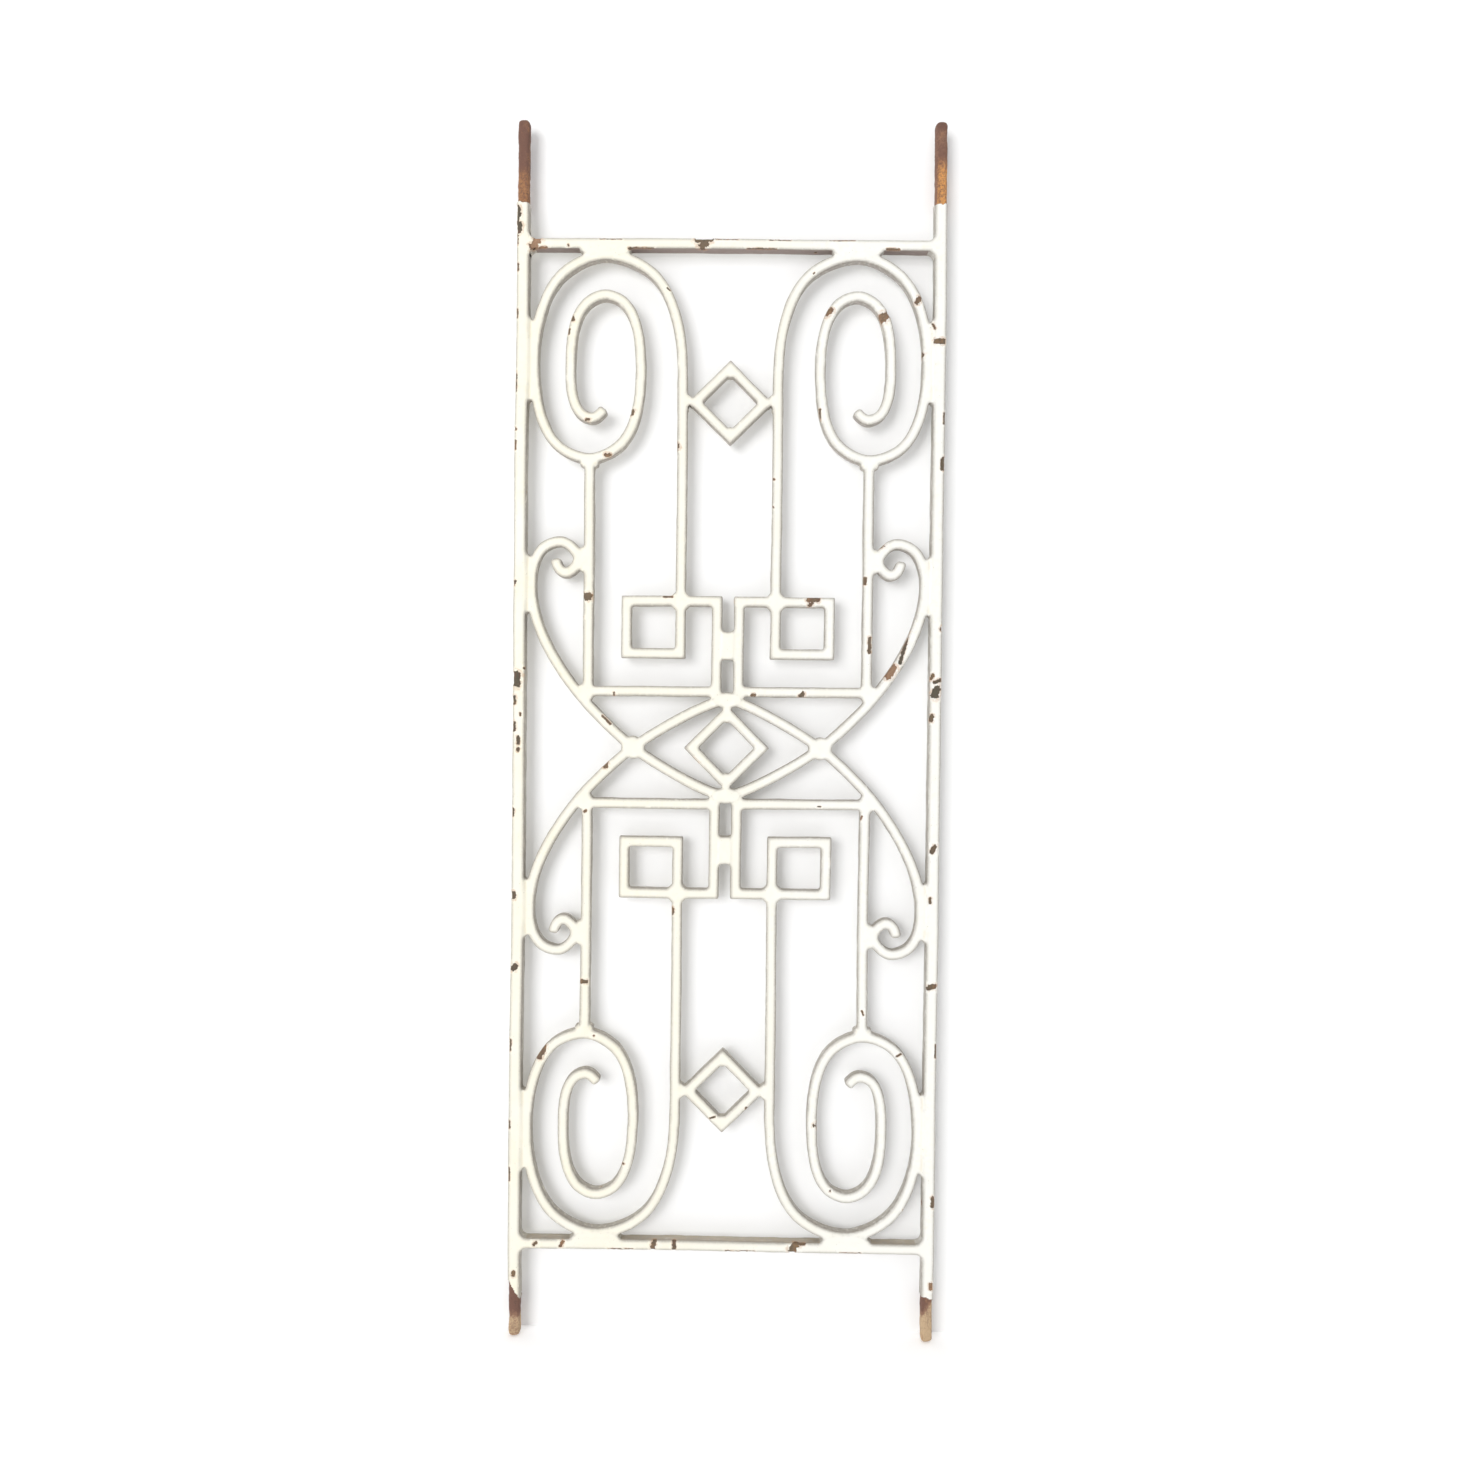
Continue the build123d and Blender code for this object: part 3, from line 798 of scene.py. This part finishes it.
def shaded_weathered_paint(shader, paint, noises, flank_depth, ledge_depth, soffit_depth):
    """Painted shade in the hollows, on flanks, soffits and arrises (partly grime and rubbed paint),
    dust on ledges, rust stains and specks.
    """
    mottle, fine, streaks = noises
    # Painted shade in the hollows, yellowed.
    hollow = shader.math("MULTIPLY", shader.mask("hollow"), 0.5)
    paint = shader.blend(hollow, paint, hollow_shade)
    # Painted shade, partly grime, on the flanks.
    flank = shader.math("MULTIPLY", shader.mask("flank"), shader.step(streaks, 0.15, 0.55))
    paint = shader.blend(shader.math("MULTIPLY", flank, flank_depth), paint, shade_and_grime)
    ledge = shader.math("MULTIPLY", shader.mask("ledge"), shader.step(mottle, 0.2, 0.6))
    paint = shader.blend(shader.math("MULTIPLY", ledge, ledge_depth), paint, ledge_dirt)
    # Painted shade on the undersides, tinted rust-brown.
    soffit = shader.math("MULTIPLY", shader.mask("soffit"), soffit_depth)
    paint = shader.blend(soffit, paint, soffit_shade)
    # Painted shade along the arrises, in patches, partly rubbed paint.
    arris_patches = shader.math("MULTIPLY_ADD", shader.step(fine, 0.3, 0.6), 0.4, 0.6)
    arris = shader.math("MULTIPLY", shader.mask("arris"), shader.step(streaks, 0.0, 0.5))
    arris = shader.math("MULTIPLY", arris, arris_patches)
    paint = shader.blend(shader.math("MULTIPLY", arris, 0.9), paint, shade_and_grime)
    stain = shader.math("MULTIPLY", shader.step(shader.mask("stain"), 0.1, 0.9), 0.5)
    stain = shader.math("MULTIPLY", stain, shader.step(mottle, 0.35, 0.6))
    paint = shader.blend(stain, paint, rust_stain)
    specks = shader.math("MULTIPLY", shader.step(shader.noise(1.3, detail=1), 0.74, 0.8), 0.7)
    return shader.blend(specks, paint, fly_speck)


def painted_iron(name, brushing, flank_depth, ledge_depth, soffit_depth):
    """Thick brushed cream paint over rusted iron, broken through where the masks say."""
    shader = Shader(name)
    mottle = shader.noise(5, detail=4, roughness=0.6)
    fine = shader.noise(0.9, detail=3, roughness=0.65)
    streaks = shader.noise(3.0, detail=4, roughness=0.6, stretch=brushing)
    noises = (mottle, fine, streaks)
    paint = clean_paint(shader, mottle)
    paint = shaded_weathered_paint(shader, paint, noises, flank_depth, ledge_depth, soffit_depth)

    ragged = shader.math("MULTIPLY_ADD", fine, 0.4, shader.mask("chip"))
    broken = shader.step(ragged, 0.62, 0.74)
    bare = shader.step(shader.mask("bare"), 0.35, 0.65)
    iron = shader.math("MAXIMUM", broken, bare)
    colour = shader.blend(iron, paint, rust_colour(shader, bare))

    paint_rough = shader.math("MULTIPLY_ADD", mottle, 0.3, 0.32)
    roughness = shader.blend_value(iron, paint_rough, 0.88)
    crust = shader.noise(0.8, detail=6, roughness=0.75)
    relief = shader.blend_value(iron, shader.math("MULTIPLY", streaks, 0.3), crust)
    bump = shader.add(
        "ShaderNodeBump", {"Strength": 0.6, "Distance": 0.35 * MM, "Height": relief}
    )
    surface = shader.add(
        "ShaderNodeBsdfPrincipled",
        {"Base Color": colour, "Roughness": roughness, "Normal": bump.outputs["Normal"]},
    )
    shader.add("ShaderNodeOutputMaterial", {"Surface": surface.outputs["BSDF"]})
    return shader.material


upright_strokes = (1, 1, 0.25)
level_strokes = (0.25, 1, 1)
dabs = (1, 1, 1)
finishes = {
    # slot: brush strokes, then how strong the painted shade on its flanks, the dust on its ledges and
    # the painted shade on its soffits are
    "stile": (upright_strokes, 0.9, 0.3, 0.3),
    "rail": (level_strokes, 0.9, 0.85, 0.9),
    "infill": (upright_strokes, 0.85, 0.2, 0.25),
    "weld": (dabs, 0.6, 0.2, 0.25),
}
materials = {slot: painted_iron(f"painted_{slot}", *finish) for slot, finish in finishes.items()}

# ---- Building it ---------------------------------------------------------------------------------

cad_points, cad_faces, cad_owners = joined_cad()
skin = grow_skin(cad_points, cad_faces)
owner_layer = skin.attributes.new("owner", "INT", "FACE")
owner_layer.data.foreach_set("value", face_owners(skin, cad_points, cad_faces, cad_owners))
wear_segments = chip_segments(mesh_points(skin), mesh_normals(skin))
refine(skin, wear_segments, chip_refinements)
skin_owner = np.zeros(len(skin.polygons), np.int64)
skin.attributes["owner"].data.foreach_get("value", skin_owner)
skin_masks = wear_and_relief(skin, skin_owner, wear_segments)
pieces = cut_pieces(skin, skin_owner, skin_masks)
bpy.data.meshes.remove(skin)

for node_name, piece in pieces.items():
    piece.data.materials.append(materials[slot_of[node_name]])
    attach(piece, "root")
    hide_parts(node_name)

# ---- Studio --------------------------------------------------------------------------------------

wall_gap = 9 * MM         # from the grille's rear to the backdrop
studio_half = 6.0
paper_white = 0.92
floor_glow = 0.26
sky_light = 0.44          # the world's strength as the grille gets it
sky_seen = 1.0            # and as the camera sees it
key_place = Vector((-3.2, -6.0, 1.4))  # from the grille's centre, as are the next two places
key_size = 3.6
key_power = 258
top_place = Vector((0, -1.2, 2.3))
top_size = 2.5
top_power = 12
camera_place = Vector((11.5, -1052.6, 32.0)) * MM
top_aim = Vector((0, -0.3, low.z))     # on the floor, in front of the grille
sensor_width = 36
focal_ratio = 1050 / 1457              # focal length over the picture's width
camera_angles = (-0.68, 0.64, 0.51)    # tilt, roll and turn in degrees


def one_sided_white(name, glow):
    """Matt white paper, lit through a little, and clear from behind so it never hides the grille."""
    shader = Shader(name)
    white = (paper_white, paper_white, paper_white, 1)
    values = {"Base Color": white, "Roughness": 1, "Emission Color": white}
    values["Emission Strength"] = glow
    values["Specular IOR Level"] = 0
    paper = shader.add("ShaderNodeBsdfPrincipled", values)
    clear = shader.add("ShaderNodeBsdfTransparent")
    behind = shader.add("ShaderNodeNewGeometry").outputs["Backfacing"]
    mix = shader.add("ShaderNodeMixShader")
    shader.put(mix.inputs[0], behind)
    shader.put(mix.inputs[1], paper.outputs[0])
    shader.put(mix.inputs[2], clear.outputs[0])
    shader.add("ShaderNodeOutputMaterial", {"Surface": mix.outputs[0]})
    return shader.material


def studio_sheet(name, glow, corners):
    """A flat sheet of the studio, seen from the side its corners run counterclockwise on."""
    mesh = bpy.data.meshes.new(name)
    mesh.from_pydata(corners, [], [(0, 1, 2, 3)])
    mesh.materials.append(one_sided_white(name, glow))
    sheet = bpy.data.objects.new(name, mesh)
    bpy.context.scene.collection.objects.link(sheet)


wall_y = high.y + wall_gap
studio_sheet(
    "floor",
    floor_glow,
    [
        (-studio_half, -studio_half, low.z),
        (studio_half, -studio_half, low.z),
        (studio_half, studio_half, low.z),
        (-studio_half, studio_half, low.z),
    ],
)
studio_sheet(
    "backdrop",
    0,
    [
        (-studio_half, wall_y, low.z),
        (studio_half, wall_y, low.z),
        (studio_half, wall_y, studio_half),
        (-studio_half, wall_y, studio_half),
    ],
)

world = bpy.data.worlds.new("studio")
world.use_nodes = True
sky = world.node_tree.nodes["Background"]
sky.inputs["Color"].default_value = (1, 1, 1, 1)
sky_strength = world.node_tree.nodes.new("ShaderNodeMapRange")
sky_strength.inputs["To Min"].default_value = sky_light
sky_strength.inputs["To Max"].default_value = sky_seen
seen = world.node_tree.nodes.new("ShaderNodeLightPath")
world.node_tree.links.new(seen.outputs["Is Camera Ray"], sky_strength.inputs["Value"])
world.node_tree.links.new(sky_strength.outputs["Result"], sky.inputs["Strength"])
bpy.context.scene.world = world


def area_light(name, place, aim, size, power):
    """A square light at a place, turned to face its aim."""
    light = bpy.data.lights.new(name, "AREA")
    light.size = size
    light.energy = power
    lamp = bpy.data.objects.new(name, light)
    lamp.location = place
    lamp.rotation_euler = (Vector(aim) - Vector(place)).to_track_quat("-Z", "Y").to_euler()
    bpy.context.scene.collection.objects.link(lamp)


centre = Vector((0, 0, middle_z))
area_light("key", centre + key_place, centre, key_size, key_power)
area_light("top", centre + top_place, top_aim, top_size, top_power)

camera = bpy.data.objects.new("camera", bpy.data.cameras.new("camera"))
bpy.context.scene.collection.objects.link(camera)
camera.data.sensor_width = sensor_width
camera.data.lens = focal_ratio * sensor_width
camera.data.clip_start = 0.01
camera.location = centre + camera_place
tilt, roll, turn = (math.radians(angle) for angle in camera_angles)
look = Euler((math.pi / 2 + tilt, 0, turn)).to_matrix()
spin = Euler((0, 0, roll)).to_matrix()
camera.rotation_euler = (look @ spin).to_euler()
bpy.context.scene.camera = camera
bpy.context.scene.view_settings.view_transform = "Standard"
